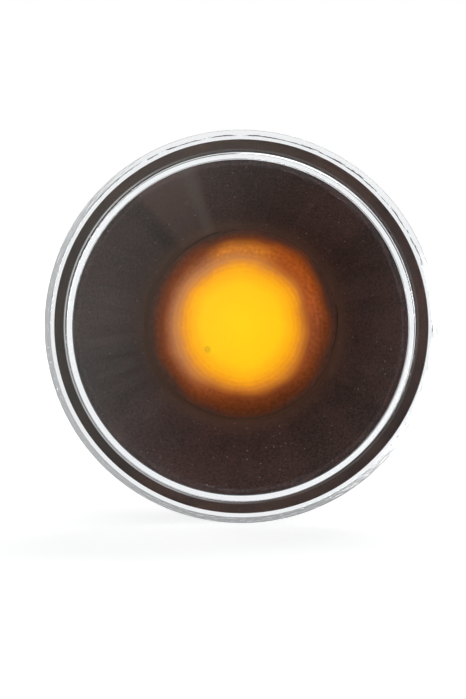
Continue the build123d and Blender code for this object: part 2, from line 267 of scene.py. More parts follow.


# How strongly the painted spill of the cap's light glows on the plastic beside it
def paintedAmberSpill(tree, radius, depth, facing, look):
    near = addNode(tree, "ShaderNodeMapRange", {
        "Value": radius, "From Min": look["capMm"] * mm, "From Max": look["spillMm"] * mm, "To Min": 1.0,
        "To Max": 0.0})
    falling = addNode(tree, "ShaderNodeMath", {0: near, 1: look["spillPower"]}, operation="POWER")
    deepest = addNode(tree, "ShaderNodeMapRange", {  # down the throat, but not behind the dish
        "Value": radius, "From Min": look["throatMm"] * mm, "From Max": look["throatEdgeMm"] * mm,
        "To Min": look["throatEndMm"] * mm, "To Max": look["dishMm"] * mm})
    reached = addNode(tree, "ShaderNodeMath", {0: depth, 1: deepest}, operation="LESS_THAN")
    spill = look["spill"]
    for factor in (falling, reached, facing):
        spill = addNode(tree, "ShaderNodeMath", {0: spill, 1: factor}, operation="MULTIPLY")
    return spill


# Strews dust over a colour: one speck in each cell, most of them faint
def dusted(tree, place, ground, look):
    cells = addNode(tree, "ShaderNodeTexVoronoi", {"Vector": place, "Scale": 1 / (look["speckMm"] * mm)})
    dot = addNode(tree, "ShaderNodeMapRange", {
        "Value": cells, "From Min": look["speckCore"], "From Max": look["speckEdge"],
        "To Min": look["speckMost"], "To Max": 0.0})
    lot = addNode(tree, "ShaderNodeSeparateColor", {0: cells.outputs["Color"]})
    few = addNode(tree, "ShaderNodeMath", {0: lot, 1: look["speckPower"]}, operation="POWER")
    strewn = addNode(tree, "ShaderNodeMath", {0: dot, 1: few}, operation="MULTIPLY")
    return addNode(tree, "ShaderNodeMix", {
        0: strewn, 6: ground, 7: linear(look["speck"])}, data_type="RGBA").outputs[2]


def makeBlackAbs(look):
    material, tree, place = startMaterial("blackGrainedAbs")
    grain = addNode(tree, "ShaderNodeTexNoise", {  # the real grain is about 0.05 mm, drawn coarser to show
        "Vector": place, "Scale": 1 / (look["grainMm"] * mm), "Detail": 2.0, "Roughness": 0.6})
    patch = addNode(tree, "ShaderNodeTexNoise", {
        "Vector": place, "Scale": 1 / (look["patchMm"] * mm), "Detail": 3.0})
    radius, spoke = aboutAxis(tree, place)
    flow, paintedStreak = flowMarks(tree, spoke, look)
    tone = 0.0
    # the last share lightens the tone along the painted reflection streaks
    parts = dict(grainShare=grain, patchShare=patch, flowShare=flow, paintedStreakShare=paintedStreak)
    for share, source in parts.items():
        tone = addNode(tree, "ShaderNodeMath", {0: source, 1: look[share], 2: tone}, operation="MULTIPLY_ADD")
    plain = addNode(tree, "ShaderNodeValToRGB", {"Fac": tone}, [
        (look["toneFrom"], linear(look["dark"])), (look["toneTo"], linear(look["light"]))])
    # the dish's colour with painted amber light in it, paling to the colour of the painted reflection streaks
    paintedDishTone = addNode(tree, "ShaderNodeValToRGB", {"Fac": tone}, [
        (look["toneFrom"], linear(look["dishDark"])), (look["toneTo"], linear(look["dishLight"])),
        (1.0, linear(look["paintedStreak"]))])

    # the inside of the dish is what faces the axis or the front
    depth = addNode(tree, "ShaderNodeSeparateXYZ", {0: place}).outputs["Y"]
    shallow = addNode(tree, "ShaderNodeMapRange", {
        "Value": depth, "From Min": look["dishMm"] * mm, "From Max": look["dishEndMm"] * mm, "To Min": 1.0,
        "To Max": 0.0})
    normal = addNode(tree, "ShaderNodeNewGeometry").outputs["Normal"]
    outward = addNode(tree, "ShaderNodeVectorMath", {0: spoke, 1: (0.0, 1.0, 0.0)}, operation="ADD")
    away = addNode(tree, "ShaderNodeVectorMath", {0: normal, 1: outward}, operation="DOT_PRODUCT")
    facing = addNode(tree, "ShaderNodeMath", {0: away.outputs["Value"], 1: 0.0}, operation="LESS_THAN")
    inDish = addNode(tree, "ShaderNodeMath", {0: shallow, 1: facing}, operation="MULTIPLY")
    ground = addNode(tree, "ShaderNodeMix", {0: inDish, 6: plain, 7: paintedDishTone}, data_type="RGBA").outputs[2]

    rough = addNode(tree, "ShaderNodeMapRange", {
        "Value": grain, "From Min": look["grainFrom"], "From Max": look["grainTo"],
        "To Min": look["roughLow"], "To Max": look["roughHigh"]})
    bump = addNode(tree, "ShaderNodeBump", {
        "Height": grain, "Strength": look["bump"], "Distance": look["bumpMm"] * mm})
    # the emission is the painted spill of amber light from the cap
    shader = addNode(tree, "ShaderNodeBsdfPrincipled", {
        "Base Color": dusted(tree, place, ground, look), "Roughness": rough, "IOR": look["ior"],
        "Specular IOR Level": look["specular"], "Emission Color": linear(look["spillTint"]),
        "Emission Strength": paintedAmberSpill(tree, radius, depth, facing, look), "Normal": bump})
    addNode(tree, "ShaderNodeOutputMaterial", {"Surface": shader})
    return material


# Amber polycarbonate, moulded, with the bulb lit behind it. The bulb's light through it is a painted glow:
# yellow where light comes straight through, then a haze, then a red-brown mottle at the wall. Bands, rings,
# clouds and patches lie at shares of its reach. The patches are painted light and a painted shadow: a pale
# haze of light at the left, the bulb's light in the shoulder at the right and the top, and a shadow low down.
amberLook = dict(dark="#1a0b03", pale="#2e1608", paleFrom=0.35, paleTo=0.65, glow=1.2,
                 centreX=0.05, centreZ=0.16, tall=0.965, reachMm=11.9,
                 driftMm=5.0, wanderMm=0.3, mottleMm=0.5, blurMm=0.22, noiseFrom=0.3, noiseTo=0.7,
                 bands=[(0.00, "#ffce00"), (0.40, "#fec400"), (0.53, "#fbaa00"), (0.59, "#ee960c"),
                        (0.655, "#c4721e"), (0.73, "#883f14"), (0.85, "#602b10"), (0.94, "#39251f")],
                 ringMm=0.55, ringFrom=0.42, ringTo=0.6, ringShade=0.07,
                 cloud=1.9, cloudFrom=0.6, cloudTo=0.78,
                 bubbleMm=3.0, bubbleShift=(3.4, 0.0, 1.8), bubbleRare=0.68,
                 bubbleTones=[(0.0, 0.88), (0.05, 0.9), (0.1, 0.74), (0.18, 1.0)],
                 fadeIn=0.1, fadeOut=0.11,
                 # painted light at the left, the right and the top, and a painted shadow below
                 patches=[dict(tint="#c08a5c", toward=(-0.85, 0.0, 0.5), sideFrom=-0.3, sideTo=0.7,
                               inner=0.66, outer=0.7, most=0.36),
                          dict(tint="#a94e14", toward=(0.75, 0.0, 0.66), sideFrom=0.68, sideTo=0.95,
                               inner=0.74, outer=0.81, most=0.66),
                          dict(tint="#d87f1e", toward=(0.0, 0.0, 1.0), sideFrom=0.85, sideTo=0.99,
                               inner=0.74, outer=0.76, most=0.64),
                          dict(tint="#33180c", toward=(0.3, 0.0, -0.95), sideFrom=0.7, sideTo=0.98,
                               inner=0.76, outer=0.86, most=0.45)],
                 rough=0.5, ior=1.586, specular=0.05, bump=0.15, bumpMm=0.03)


# Lays each painted patch of light and shadow over the colour of the bands
def withPaintedPatches(tree, colour, spoke, share, look):
    for patch in look["patches"]:
        lean = addNode(tree, "ShaderNodeVectorMath", {0: spoke, 1: patch["toward"]}, operation="DOT_PRODUCT")
        side = addNode(tree, "ShaderNodeMapRange", {
            "Value": lean.outputs["Value"], "From Min": patch["sideFrom"], "From Max": patch["sideTo"],
            "To Max": patch["most"]}, **smooth)
        arc = addNode(tree, "ShaderNodeValToRGB", {"Fac": share}, [
            (patch["inner"] - look["fadeIn"], grey(0)), (patch["inner"], grey(1)),
            (patch["outer"], grey(1)), (patch["outer"] + look["fadeOut"], grey(0))])
        amount = addNode(tree, "ShaderNodeMath", {0: side, 1: arc}, operation="MULTIPLY")
        colour = addNode(tree, "ShaderNodeMix", {
            0: amount, 6: colour, 7: linear(patch["tint"])}, data_type="RGBA").outputs[2]
    return colour


# Dims the glow along faint moulded rings round the edge of the bright disc
def ringShade(tree, flat, share, look):
    wavelength = 2 * pi / 20  # of a wave texture at scale 1
    rings = addNode(tree, "ShaderNodeTexWave", {
        "Vector": flat, "Scale": wavelength / (look["ringMm"] * mm), "Distortion": 1.2, "Detail": 1.0,
        "Detail Scale": 0.3}, wave_type="RINGS", rings_direction="Y")
    outside = addNode(tree, "ShaderNodeMapRange", {
        "Value": share, "From Min": look["ringFrom"], "From Max": look["ringTo"], "To Min": 0.0,
        "To Max": look["ringShade"]}, **smooth)
    ringed = addNode(tree, "ShaderNodeMath", {0: rings, 1: outside}, operation="MULTIPLY")
    return addNode(tree, "ShaderNodeMath", {0: 1.0, 1: ringed}, operation="SUBTRACT")


# Dims the glow at a few bubbles in the plastic, each a dark ring with a paler middle
def bubbleShade(tree, flat, look):
    shift = [c * mm for c in look["bubbleShift"]]
    moved = addNode(tree, "ShaderNodeMapping", {"Vector": flat, "Location": shift})
    cells = addNode(tree, "ShaderNodeTexVoronoi", {"Vector": moved, "Scale": 1 / (look["bubbleMm"] * mm)})
    spot = addNode(tree, "ShaderNodeValToRGB", {"Fac": cells}, [
        (edge, grey(tone)) for edge, tone in look["bubbleTones"]])
    chance = addNode(tree, "ShaderNodeSeparateColor", {0: cells.outputs["Color"]})
    some = addNode(tree, "ShaderNodeMath", {0: chance, 1: look["bubbleRare"]}, operation="GREATER_THAN")
    return addNode(tree, "ShaderNodeMix", {0: some, 2: 1.0, 3: spot}, data_type="FLOAT")


# Dims and lifts the glow in clouds towards the wall
def cloudShade(tree, mottle, share, look):
    clouds = addNode(tree, "ShaderNodeMapRange", {
        "Value": share, "From Min": look["cloudFrom"], "From Max": look["cloudTo"], "To Min": 0.0,
        "To Max": look["cloud"]}, **smooth)
    speckle = addNode(tree, "ShaderNodeMath", {0: mottle, 1: 0.5}, operation="SUBTRACT")
    return addNode(tree, "ShaderNodeMath", {0: speckle, 1: clouds, 2: 1.0}, operation="MULTIPLY_ADD")


def makeAmberPolycarbonate(look):
    material, tree, place = startMaterial("litAmberPolycarbonate")
    flat = addNode(tree, "ShaderNodeMapping", {
        "Vector": place, "Location": (-look["centreX"] * mm, 0, -look["centreZ"] * mm),
        "Scale": (1, 0, look["tall"])})
    radius, spoke = aboutAxis(tree, flat)
    drift = addNode(tree, "ShaderNodeTexNoise", {
        "Vector": flat, "Scale": 1 / (look["driftMm"] * mm), "Detail": 1.0})
    mottle = addNode(tree, "ShaderNodeTexNoise", {
        "Vector": flat, "Scale": 1 / (look["mottleMm"] * mm), "Detail": 4.0, "Roughness": 0.65})
    for noise, reach in ((drift, look["wanderMm"]), (mottle, look["blurMm"])):
        shift = addNode(tree, "ShaderNodeMapRange", {
            "Value": noise, "From Min": look["noiseFrom"], "From Max": look["noiseTo"],
            "To Min": -reach * mm, "To Max": reach * mm})
        radius = addNode(tree, "ShaderNodeMath", {0: radius, 1: shift}, operation="ADD")
    share = addNode(tree, "ShaderNodeMath", {0: radius, 1: look["reachMm"] * mm}, operation="DIVIDE")
    band = addNode(tree, "ShaderNodeValToRGB", {"Fac": share}, [
        (edge, linear(tint)) for edge, tint in look["bands"]])
    level = look["glow"]
    for factor in (ringShade(tree, flat, share, look), bubbleShade(tree, flat, look),
                   cloudShade(tree, mottle, share, look)):
        level = addNode(tree, "ShaderNodeMath", {0: level, 1: factor}, operation="MULTIPLY")
    skin = addNode(tree, "ShaderNodeValToRGB", {"Fac": mottle}, [
        (look["paleFrom"], linear(look["dark"])), (look["paleTo"], linear(look["pale"]))])
    bump = addNode(tree, "ShaderNodeBump", {
        "Height": mottle, "Strength": look["bump"], "Distance": look["bumpMm"] * mm})
    shader = addNode(tree, "ShaderNodeBsdfPrincipled", {
        "Base Color": skin, "Roughness": look["rough"], "IOR": look["ior"],
        "Specular IOR Level": look["specular"], "Emission Color": withPaintedPatches(tree, band, spoke, share, look),
        "Emission Strength": level, "Normal": bump})
    addNode(tree, "ShaderNodeOutputMaterial", {"Surface": shader})
    return material


# Rubber, moulded: dull, with fine pores and a bloom that pales it in patches
rubberLook = dict(bloomMm=7.0, toneFrom=0.15, toneTo=0.45, roughLow=0.55, roughHigh=0.85, ior=1.5,
                  specular=0.25, bump=0.3, bumpMm=0.03, paintedHighlight=None)

# EPDM is near black, here warm with dust. A pale line on it is a painted highlight along the inner edge,
# where it is squeezed against the lens, brightest at the left.
gasketLook = dict(rubberLook, name="blackEpdmRubber", dark="#20130d", light="#442c22", poreMm=0.25,
                  paintedHighlight=dict(tint="#d8d8d8", radiusMm=21.6, coreMm=0.06, edgeMm=0.13, frontMm=-1.6,
                            toward=(-0.97, 0.0, -0.2), sideFrom=0.0, sideTo=0.95, least=0.06, most=0.6))

# Silicone is a cooler black, and cleaner
sealLook = dict(rubberLook, name="sealSiliconeRubber", dark="#141416", light="#26272a", poreMm=0.3)


# Draws the painted highlight line over a colour
def withPaintedHighlight(tree, place, colour, paintedHighlight):
    radius, spoke = aboutAxis(tree, place)
    lean = addNode(tree, "ShaderNodeVectorMath", {0: spoke, 1: paintedHighlight["toward"]}, operation="DOT_PRODUCT")
    amount = addNode(tree, "ShaderNodeMapRange", {
        "Value": lean.outputs["Value"], "From Min": paintedHighlight["sideFrom"], "From Max": paintedHighlight["sideTo"],
        "To Min": paintedHighlight["least"], "To Max": paintedHighlight["most"]}, **smooth)
    apart = addNode(tree, "ShaderNodeMath", {0: radius, 1: paintedHighlight["radiusMm"] * mm}, operation="SUBTRACT")
    off = addNode(tree, "ShaderNodeMath", {0: apart}, operation="ABSOLUTE")
    line = addNode(tree, "ShaderNodeMapRange", {
        "Value": off, "From Min": paintedHighlight["coreMm"] * mm, "From Max": paintedHighlight["edgeMm"] * mm, "To Min": 1.0,
        "To Max": 0.0})
    depth = addNode(tree, "ShaderNodeSeparateXYZ", {0: place}).outputs["Y"]
    front = addNode(tree, "ShaderNodeMath", {0: depth, 1: paintedHighlight["frontMm"] * mm}, operation="LESS_THAN")
    for factor in (line, front):
        amount = addNode(tree, "ShaderNodeMath", {0: amount, 1: factor}, operation="MULTIPLY")
    return addNode(tree, "ShaderNodeMix", {
        0: amount, 6: colour, 7: linear(paintedHighlight["tint"])}, data_type="RGBA").outputs[2]


def makeRubber(look):
    material, tree, place = startMaterial(look["name"])
    pores = addNode(tree, "ShaderNodeTexNoise", {
        "Vector": place, "Scale": 1 / (look["poreMm"] * mm), "Detail": 5.0})
    bloom = addNode(tree, "ShaderNodeTexNoise", {
        "Vector": place, "Scale": 1 / (look["bloomMm"] * mm), "Detail": 3.0})
    tone = addNode(tree, "ShaderNodeMath", {0: pores, 1: bloom}, operation="MULTIPLY")
    colour = addNode(tree, "ShaderNodeValToRGB", {"Fac": tone}, [
        (look["toneFrom"], linear(look["dark"])), (look["toneTo"], linear(look["light"]))])
    # the painted highlight along the gasket's inner edge
    if look["paintedHighlight"]:
        colour = withPaintedHighlight(tree, place, colour, look["paintedHighlight"])
    rough = addNode(tree, "ShaderNodeMapRange", {
        "Value": pores, "To Min": look["roughLow"], "To Max": look["roughHigh"]})
    bump = addNode(tree, "ShaderNodeBump", {
        "Height": pores, "Strength": look["bump"], "Distance": look["bumpMm"] * mm})
    shader = addNode(tree, "ShaderNodeBsdfPrincipled", {
        "Base Color": colour, "Roughness": rough, "IOR": look["ior"], "Specular IOR Level": look["specular"],
        "Normal": bump})
    addNode(tree, "ShaderNodeOutputMaterial", {"Surface": shader})
    return material


# Glass-filled nylon, moulded: mid grey with pale fibre streaks along the flow and a dry semi-matt skin
nylonLook = dict(dark="#4b4d50", light="#6a6c6e", toneFrom=0.14, toneTo=0.42, fibreMm=0.5, stretch=0.18,
                 cloudMm=4.0, roughLow=0.4, roughHigh=0.62, ior=1.53, bump=0.2, bumpMm=0.02)


def makeGreyNylon(look):
    material, tree, place = startMaterial("glassFilledNylon")
    along = addNode(tree, "ShaderNodeMapping", {"Vector": place, "Scale": (1.0, look["stretch"], 1.0)})
    fibre = addNode(tree, "ShaderNodeTexNoise", {
        "Vector": along, "Scale": 1 / (look["fibreMm"] * mm), "Detail": 4.0, "Roughness": 0.65})
    cloud = addNode(tree, "ShaderNodeTexNoise", {
        "Vector": place, "Scale": 1 / (look["cloudMm"] * mm), "Detail": 3.0})
    tone = addNode(tree, "ShaderNodeMath", {0: fibre, 1: cloud}, operation="MULTIPLY")
    colour = addNode(tree, "ShaderNodeValToRGB", {"Fac": tone}, [
        (look["toneFrom"], linear(look["dark"])), (look["toneTo"], linear(look["light"]))])
    rough = addNode(tree, "ShaderNodeMapRange", {
        "Value": fibre, "To Min": look["roughLow"], "To Max": look["roughHigh"]})
    bump = addNode(tree, "ShaderNodeBump", {
        "Height": fibre, "Strength": look["bump"], "Distance": look["bumpMm"] * mm})
    shader = addNode(tree, "ShaderNodeBsdfPrincipled", {
        "Base Color": colour, "Roughness": rough, "IOR": look["ior"], "Normal": bump})
    addNode(tree, "ShaderNodeOutputMaterial", {"Surface": shader})
    return material


# Metal, drawn or rolled: fine lines along its length, and tarnish that dulls it in patches
metalLook = dict(stretch=0.05, lineFrom=0.3, lineTo=0.7, tarnishMm=2.5, dullAt=0.35, brightAt=0.6, glow=None)

# Brass strip, rolled and stamped: warm yellow, with a soft gleam
brassLook = dict(metalLook, name="stampedBrass", bright="#d9b45e", dull="#a9823c", lineMm=0.12,
                 roughLow=0.2, roughHigh=0.36)

# Nickel wire, drawn: pale grey, with a gleam along it
nickelLook = dict(metalLook, name="nickelWire", bright="#b9b4aa", dull="#8d877d", lineMm=0.06,
                  roughLow=0.22, roughHigh=0.4)

# Tungsten wire, drawn and wound: dark grey, and glowing yellow while it is lit
tungstenLook = dict(metalLook, name="hotTungsten", bright="#8a8178", dull="#5f574f", lineMm=0.05,
                    roughLow=0.3, roughHigh=0.5, glow="#ffc36a", glowStrength=3.0)


def makeMetal(look):
    material, tree, place = startMaterial(look["name"])
    along = addNode(tree, "ShaderNodeMapping", {"Vector": place, "Scale": (1.0, look["stretch"], 1.0)})
    lines = addNode(tree, "ShaderNodeTexNoise", {
        "Vector": along, "Scale": 1 / (look["lineMm"] * mm), "Detail": 3.0})
    tarnish = addNode(tree, "ShaderNodeTexNoise", {
        "Vector": place, "Scale": 1 / (look["tarnishMm"] * mm), "Detail": 4.0})
    colour = addNode(tree, "ShaderNodeValToRGB", {"Fac": tarnish}, [
        (look["dullAt"], linear(look["dull"])), (look["brightAt"], linear(look["bright"]))])
    rough = addNode(tree, "ShaderNodeMapRange", {
        "Value": lines, "From Min": look["lineFrom"], "From Max": look["lineTo"], "To Min": look["roughLow"],
        "To Max": look["roughHigh"]})
    shader = addNode(tree, "ShaderNodeBsdfPrincipled", {
        "Base Color": colour, "Metallic": 1.0, "Roughness": rough})
    if look["glow"]:
        shader.inputs["Emission Color"].default_value = linear(look["glow"])
        shader.inputs["Emission Strength"].default_value = look["glowStrength"]
    addNode(tree, "ShaderNodeOutputMaterial", {"Surface": shader})
    return material


# Soda glass, blown: thin, clear and slightly green, with a drawn unevenness
glassLook = dict(tint="#f2f7f3", ior=1.52, waveMm=3.0, rough=0.0, bump=0.1, bumpMm=0.1)


def makeBulbGlass(look):
    material, tree, place = startMaterial("blownBulbGlass")
    wave = addNode(tree, "ShaderNodeTexNoise", {
        "Vector": place, "Scale": 1 / (look["waveMm"] * mm), "Detail": 1.0})
    bump = addNode(tree, "ShaderNodeBump", {
        "Height": wave, "Strength": look["bump"], "Distance": look["bumpMm"] * mm})
    finishClear(tree, look, look["rough"], bump)
    return material


clearPolycarbonate = makeClearPolycarbonate(clearLook)
blackAbs = makeBlackAbs(absLook)
amberPolycarbonate = makeAmberPolycarbonate(amberLook)
gasketRubber = makeRubber(gasketLook)
sealRubber = makeRubber(sealLook)
greyNylon = makeGreyNylon(nylonLook)
stampedBrass = makeMetal(brassLook)
nickelWire = makeMetal(nickelLook)
tungstenCoil = makeMetal(tungstenLook)
bulbGlass = makeBulbGlass(glassLook)
print("materials made")


# Lens

lensPiece = dict(face=21.12, flange=24.0, bevelWidth=0.75, bevelDrop=0.25, skirtOuter=21.33, skirtInner=20.5,
                 faceDepth=-6.2, flangeFront=-3.2, flangeRear=-1.8, skirtRear=-0.3, insideDepth=-4.03,
                 faceFillet=0.12, flangeFillet=0.15, bevelFillet=0.06, rearFillet=0.08, rootFillet=0.16,
                 skirtFillet=0.05, filletSteps=8, segments=256)


def makeLens(p):
    corners = [
        (0.0, p["faceDepth"], 0),
        (p["face"], p["faceDepth"], p["faceFillet"]),
        (p["face"], p["flangeFront"], p["flangeFillet"]),
        (p["flange"] - p["bevelWidth"], p["flangeFront"], p["flangeFillet"]),
        (p["flange"], p["flangeFront"] + p["bevelDrop"], p["bevelFillet"]),
        (p["flange"], p["flangeRear"], p["rearFillet"]),
        (p["skirtOuter"], p["flangeRear"], p["rootFillet"]),
        (p["skirtOuter"], p["skirtRear"], p["skirtFillet"]),
        (p["skirtInner"], p["skirtRear"], p["skirtFillet"]),
        (p["skirtInner"], p["insideDepth"], p["skirtFillet"]),
        (0.0, p["insideDepth"], 0),
    ]
    mesh = latheMesh(roundedOutline(corners, p["filletSteps"]), p["segments"])
    addPiece("lensMoulding", mesh, clearPolycarbonate, "lamp", ["lens"])


makeLens(lensPiece)
print("lens made")


# Gasket, with two sealing lips towards the panel and a relief groove round its edge

gasketPiece = dict(inner=21.40, outer=22.88, front=-1.78, rear=0.0, groove=0.22, grooveDeep=0.6, lipApart=1.2,
                   innerFillet=0.15, frontFillet=0.2, rearFillet=0.22, grooveFillet=0.08, lipFillet=0.12,
                   valleyFillet=0.1, filletSteps=4, segments=224)


def makeGasket(p):
    middle = (p["inner"] + p["outer"]) / 2
    half = (p["front"] + p["rear"]) / 2
    g = p["groove"]
    corners = [
        (p["inner"], p["front"], p["innerFillet"]),
        (p["outer"], p["front"], p["frontFillet"]),
        (p["outer"], half - g, p["grooveFillet"]),
        (p["outer"] - p["grooveDeep"] * g, half, p["grooveFillet"]),
        (p["outer"], half + g, p["grooveFillet"]),
        (p["outer"], p["rear"], p["rearFillet"]),
        (middle + p["lipApart"] * g, p["rear"], p["lipFillet"]),
        (middle, p["rear"] - g, p["valleyFillet"]),
        (middle - p["lipApart"] * g, p["rear"], p["lipFillet"]),
        (p["inner"], p["rear"], p["innerFillet"]),
    ]
    mesh = latheMesh(roundedOutline(corners, p["filletSteps"]), p["segments"])
    addPiece("panelGasket", mesh, gasketRubber, "lamp", ["gasket"])


makeGasket(gasketPiece)
print("gasket made")


# Housing

housingPiece = dict(edge=0.18)
housingMesh = softenedMesh("housing", housingPiece["edge"])
addPiece("housingMoulding", housingMesh, blackAbs, "lamp", ["housing"])
print("housing made", len(housingMesh.polygons))


# Amber cap

capPiece = dict(radius=11.5, wall=1.5, base=11.8, baseInner=10.4, top=-0.5, baseFront=19.7, foot=23.28,
                innerStep=21.2, shoulder=4.0, innerShoulder=2.9, baseFillet=0.3, footFillet=0.15,
                stepFillet=0.2, filletSteps=10, segments=160)


def makeCap(p):
    inner = p["radius"] - p["wall"]
    innerTop = p["top"] + p["wall"]
    corners = [
        (0.0, p["top"], 0),
        (p["radius"], p["top"], p["shoulder"]),
        (p["radius"], p["baseFront"], p["baseFillet"]),
        (p["base"], p["baseFront"], p["baseFillet"]),
        (p["base"], p["foot"], p["footFillet"]),
        (p["baseInner"], p["foot"], p["footFillet"]),
        (p["baseInner"], p["innerStep"], p["stepFillet"]),
        (inner, p["innerStep"], p["stepFillet"]),
        (inner, innerTop, p["innerShoulder"]),
        (0.0, innerTop, 0),
    ]
    mesh = latheMesh(roundedOutline(corners, p["filletSteps"]), p["segments"])
    addPiece("amberCap", mesh, amberPolycarbonate, "lamp", ["amber_cap"])


makeCap(capPiece)
print("amber cap made")


# Bulb: rings drawn from a round dome down to the flat wedge base, round a hollow that the pinch closes

bulbPiece = dict(radius=5.15, wall=0.6, tip=2.0, domeEnd=6.4, pinchFront=16.6, wedgeFront=20.2,
                 wedgeEnd=28.75, halfThickness=1.05, halfWidth=4.75, roundPower=2, wedgePower=8, domeSteps=12,
                 pinchSteps=12,
                 endRings=[(0.0, 0.4), (0.12, 0.12), (0.4, 0.0)],  # how far in from the sides and the end
                 hollowBack=1.2, hollowRun=1.4, hollowNarrow=0.25, hollowSteps=10,
                 hollowEnds=(0.0, 0.4, 0.75, 0.95), segments=64, sharpAngle=50)


# An ellipse at power 2, and squarer with a higher power
def bulbRing(bm, depth, halfX, halfZ, power, segments):
    ring = []
    for k in range(segments):
        a = 2 * pi * k / segments
        c, s = cos(a), sin(a)
        scale = (abs(c) ** power + abs(s) ** power) ** (-1 / power)
        ring.append(bm.verts.new((halfX * scale * c * mm, depth * mm, halfZ * scale * s * mm)))
    return ring


def domeRings(bm, radius, tip, steps, p):
    rings = []
    for k in range(1, steps + 1):
        a = k / steps * pi / 2
        depth = tip + (p["domeEnd"] - tip) * (1 - cos(a))
        r = radius * sin(a)
        rings.append(bulbRing(bm, depth, r, r, p["roundPower"], p["segments"]))
    return rings


# Joins the rings to a closed shell with a point at each end
def closedShell(bm, rings, tipDepth, endDepth):
    tip = bm.verts.new((0, tipDepth * mm, 0))
    end = bm.verts.new((0, endDepth * mm, 0))
    count = len(rings[0])
    faces = []
    for k in range(count):
        n = (k + 1) % count
        faces.append(bm.faces.new((tip, rings[0][k], rings[0][n])))
        faces.append(bm.faces.new((end, rings[-1][n], rings[-1][k])))
        for a, b in zip(rings, rings[1:]):
            faces.append(bm.faces.new((a[k], b[k], b[n], a[n])))
    bmesh.ops.recalc_face_normals(bm, faces=faces)
    return faces


def makeBulb(p):
    bm = bmesh.new()
    rings = domeRings(bm, p["radius"], p["tip"], p["domeSteps"], p)
    for k in range(p["pinchSteps"] + 1):
        t = k / p["pinchSteps"]
        ease = t * t * (3 - 2 * t)
        depth = p["pinchFront"] + (p["wedgeFront"] - p["pinchFront"]) * t
        halfX = p["radius"] + (p["halfThickness"] - p["radius"]) * ease
        halfZ = p["radius"] + (p["halfWidth"] - p["radius"]) * ease
        power = p["roundPower"] + (p["wedgePower"] - p["roundPower"]) * ease
        rings.append(bulbRing(bm, depth, halfX, halfZ, power, p["segments"]))
    for inset, back in p["endRings"]:
        halfX, halfZ = p["halfThickness"] - inset, p["halfWidth"] - inset
        rings.append(bulbRing(bm, p["wedgeEnd"] - back, halfX, halfZ, p["wedgePower"], p["segments"]))
    closedShell(bm, rings, p["tip"], p["wedgeEnd"])

    inside = p["radius"] - p["wall"]
    insideTip = p["tip"] + p["wall"]
    taper = p["pinchFront"] - p["hollowBack"]
    hollow = domeRings(bm, inside, insideTip, p["hollowSteps"], p)
    for t in p["hollowEnds"]:
        halfX, halfZ = inside * sqrt(1 - t * t), inside * (1 - p["hollowNarrow"] * t)
        hollow.append(bulbRing(bm, taper + p["hollowRun"] * t, halfX, halfZ, p["roundPower"], p["segments"]))
    cavity = closedShell(bm, hollow, insideTip, taper + p["hollowRun"])
    bmesh.ops.reverse_faces(bm, faces=cavity)  # the hollow's faces look into the hollow
    mesh = meshFrom(bm, "bulb")
    addPiece("wedgeBulb", mesh, bulbGlass, "bulb_unit", ["bulb_glass"], p["sharpAngle"])


makeBulb(bulbPiece)
print("bulb made")


# Lead wires: down through the pinch, then folded round the wedge base, one to each side

wirePiece = dict(radius=0.25, spacing=5.0, fold=0.66, start=7.6, wedgeEnd=28.8, foldEnd=24.3, foldSteps=16,
                 roundSteps=3, sharpAngle=50)


def makeLeadWire(side, sign, p):
    curve = bpy.data.curves.new("leadWire", "CURVE")
    curve.dimensions = "3D"
    curve.bevel_depth = p["radius"] * mm
    curve.bevel_resolution = p["roundSteps"]
    curve.use_fill_caps = True
    z = sign * p["spacing"] / 2
    path = [(0.0, p["start"]), (0.0, (p["start"] + p["wedgeEnd"]) / 2)]
    for k in range(p["foldSteps"] + 1):
        a = pi * k / p["foldSteps"]
        path.append((sign * p["fold"] * (1 - cos(a)), p["wedgeEnd"] + p["fold"] * sin(a)))
    path.append((sign * 2 * p["fold"], p["foldEnd"]))
    spline = curve.splines.new("POLY")
    spline.points.add(len(path) - 1)
    for point, (x, y) in zip(spline.points, path):
        point.co = (x * mm, y * mm, z * mm, 1)
    mesh = frozenMesh(addObject("leadWire", curve))
    addPiece("leadWire_" + side, mesh, nickelWire, "bulb_unit", ["lead_wire_" + side],
             p["sharpAngle"])


for side, sign in (("right", 1), ("left", -1)):
    makeLeadWire(side, sign, wirePiece)
print("lead wires made")


# Filament: a close coil between the posts

coilPiece = dict(coil=0.33, wire=0.06, turns=22, length=4.4, depth=8.1, turnSteps=24, wireSides=8,
                 sharpAngle=60)


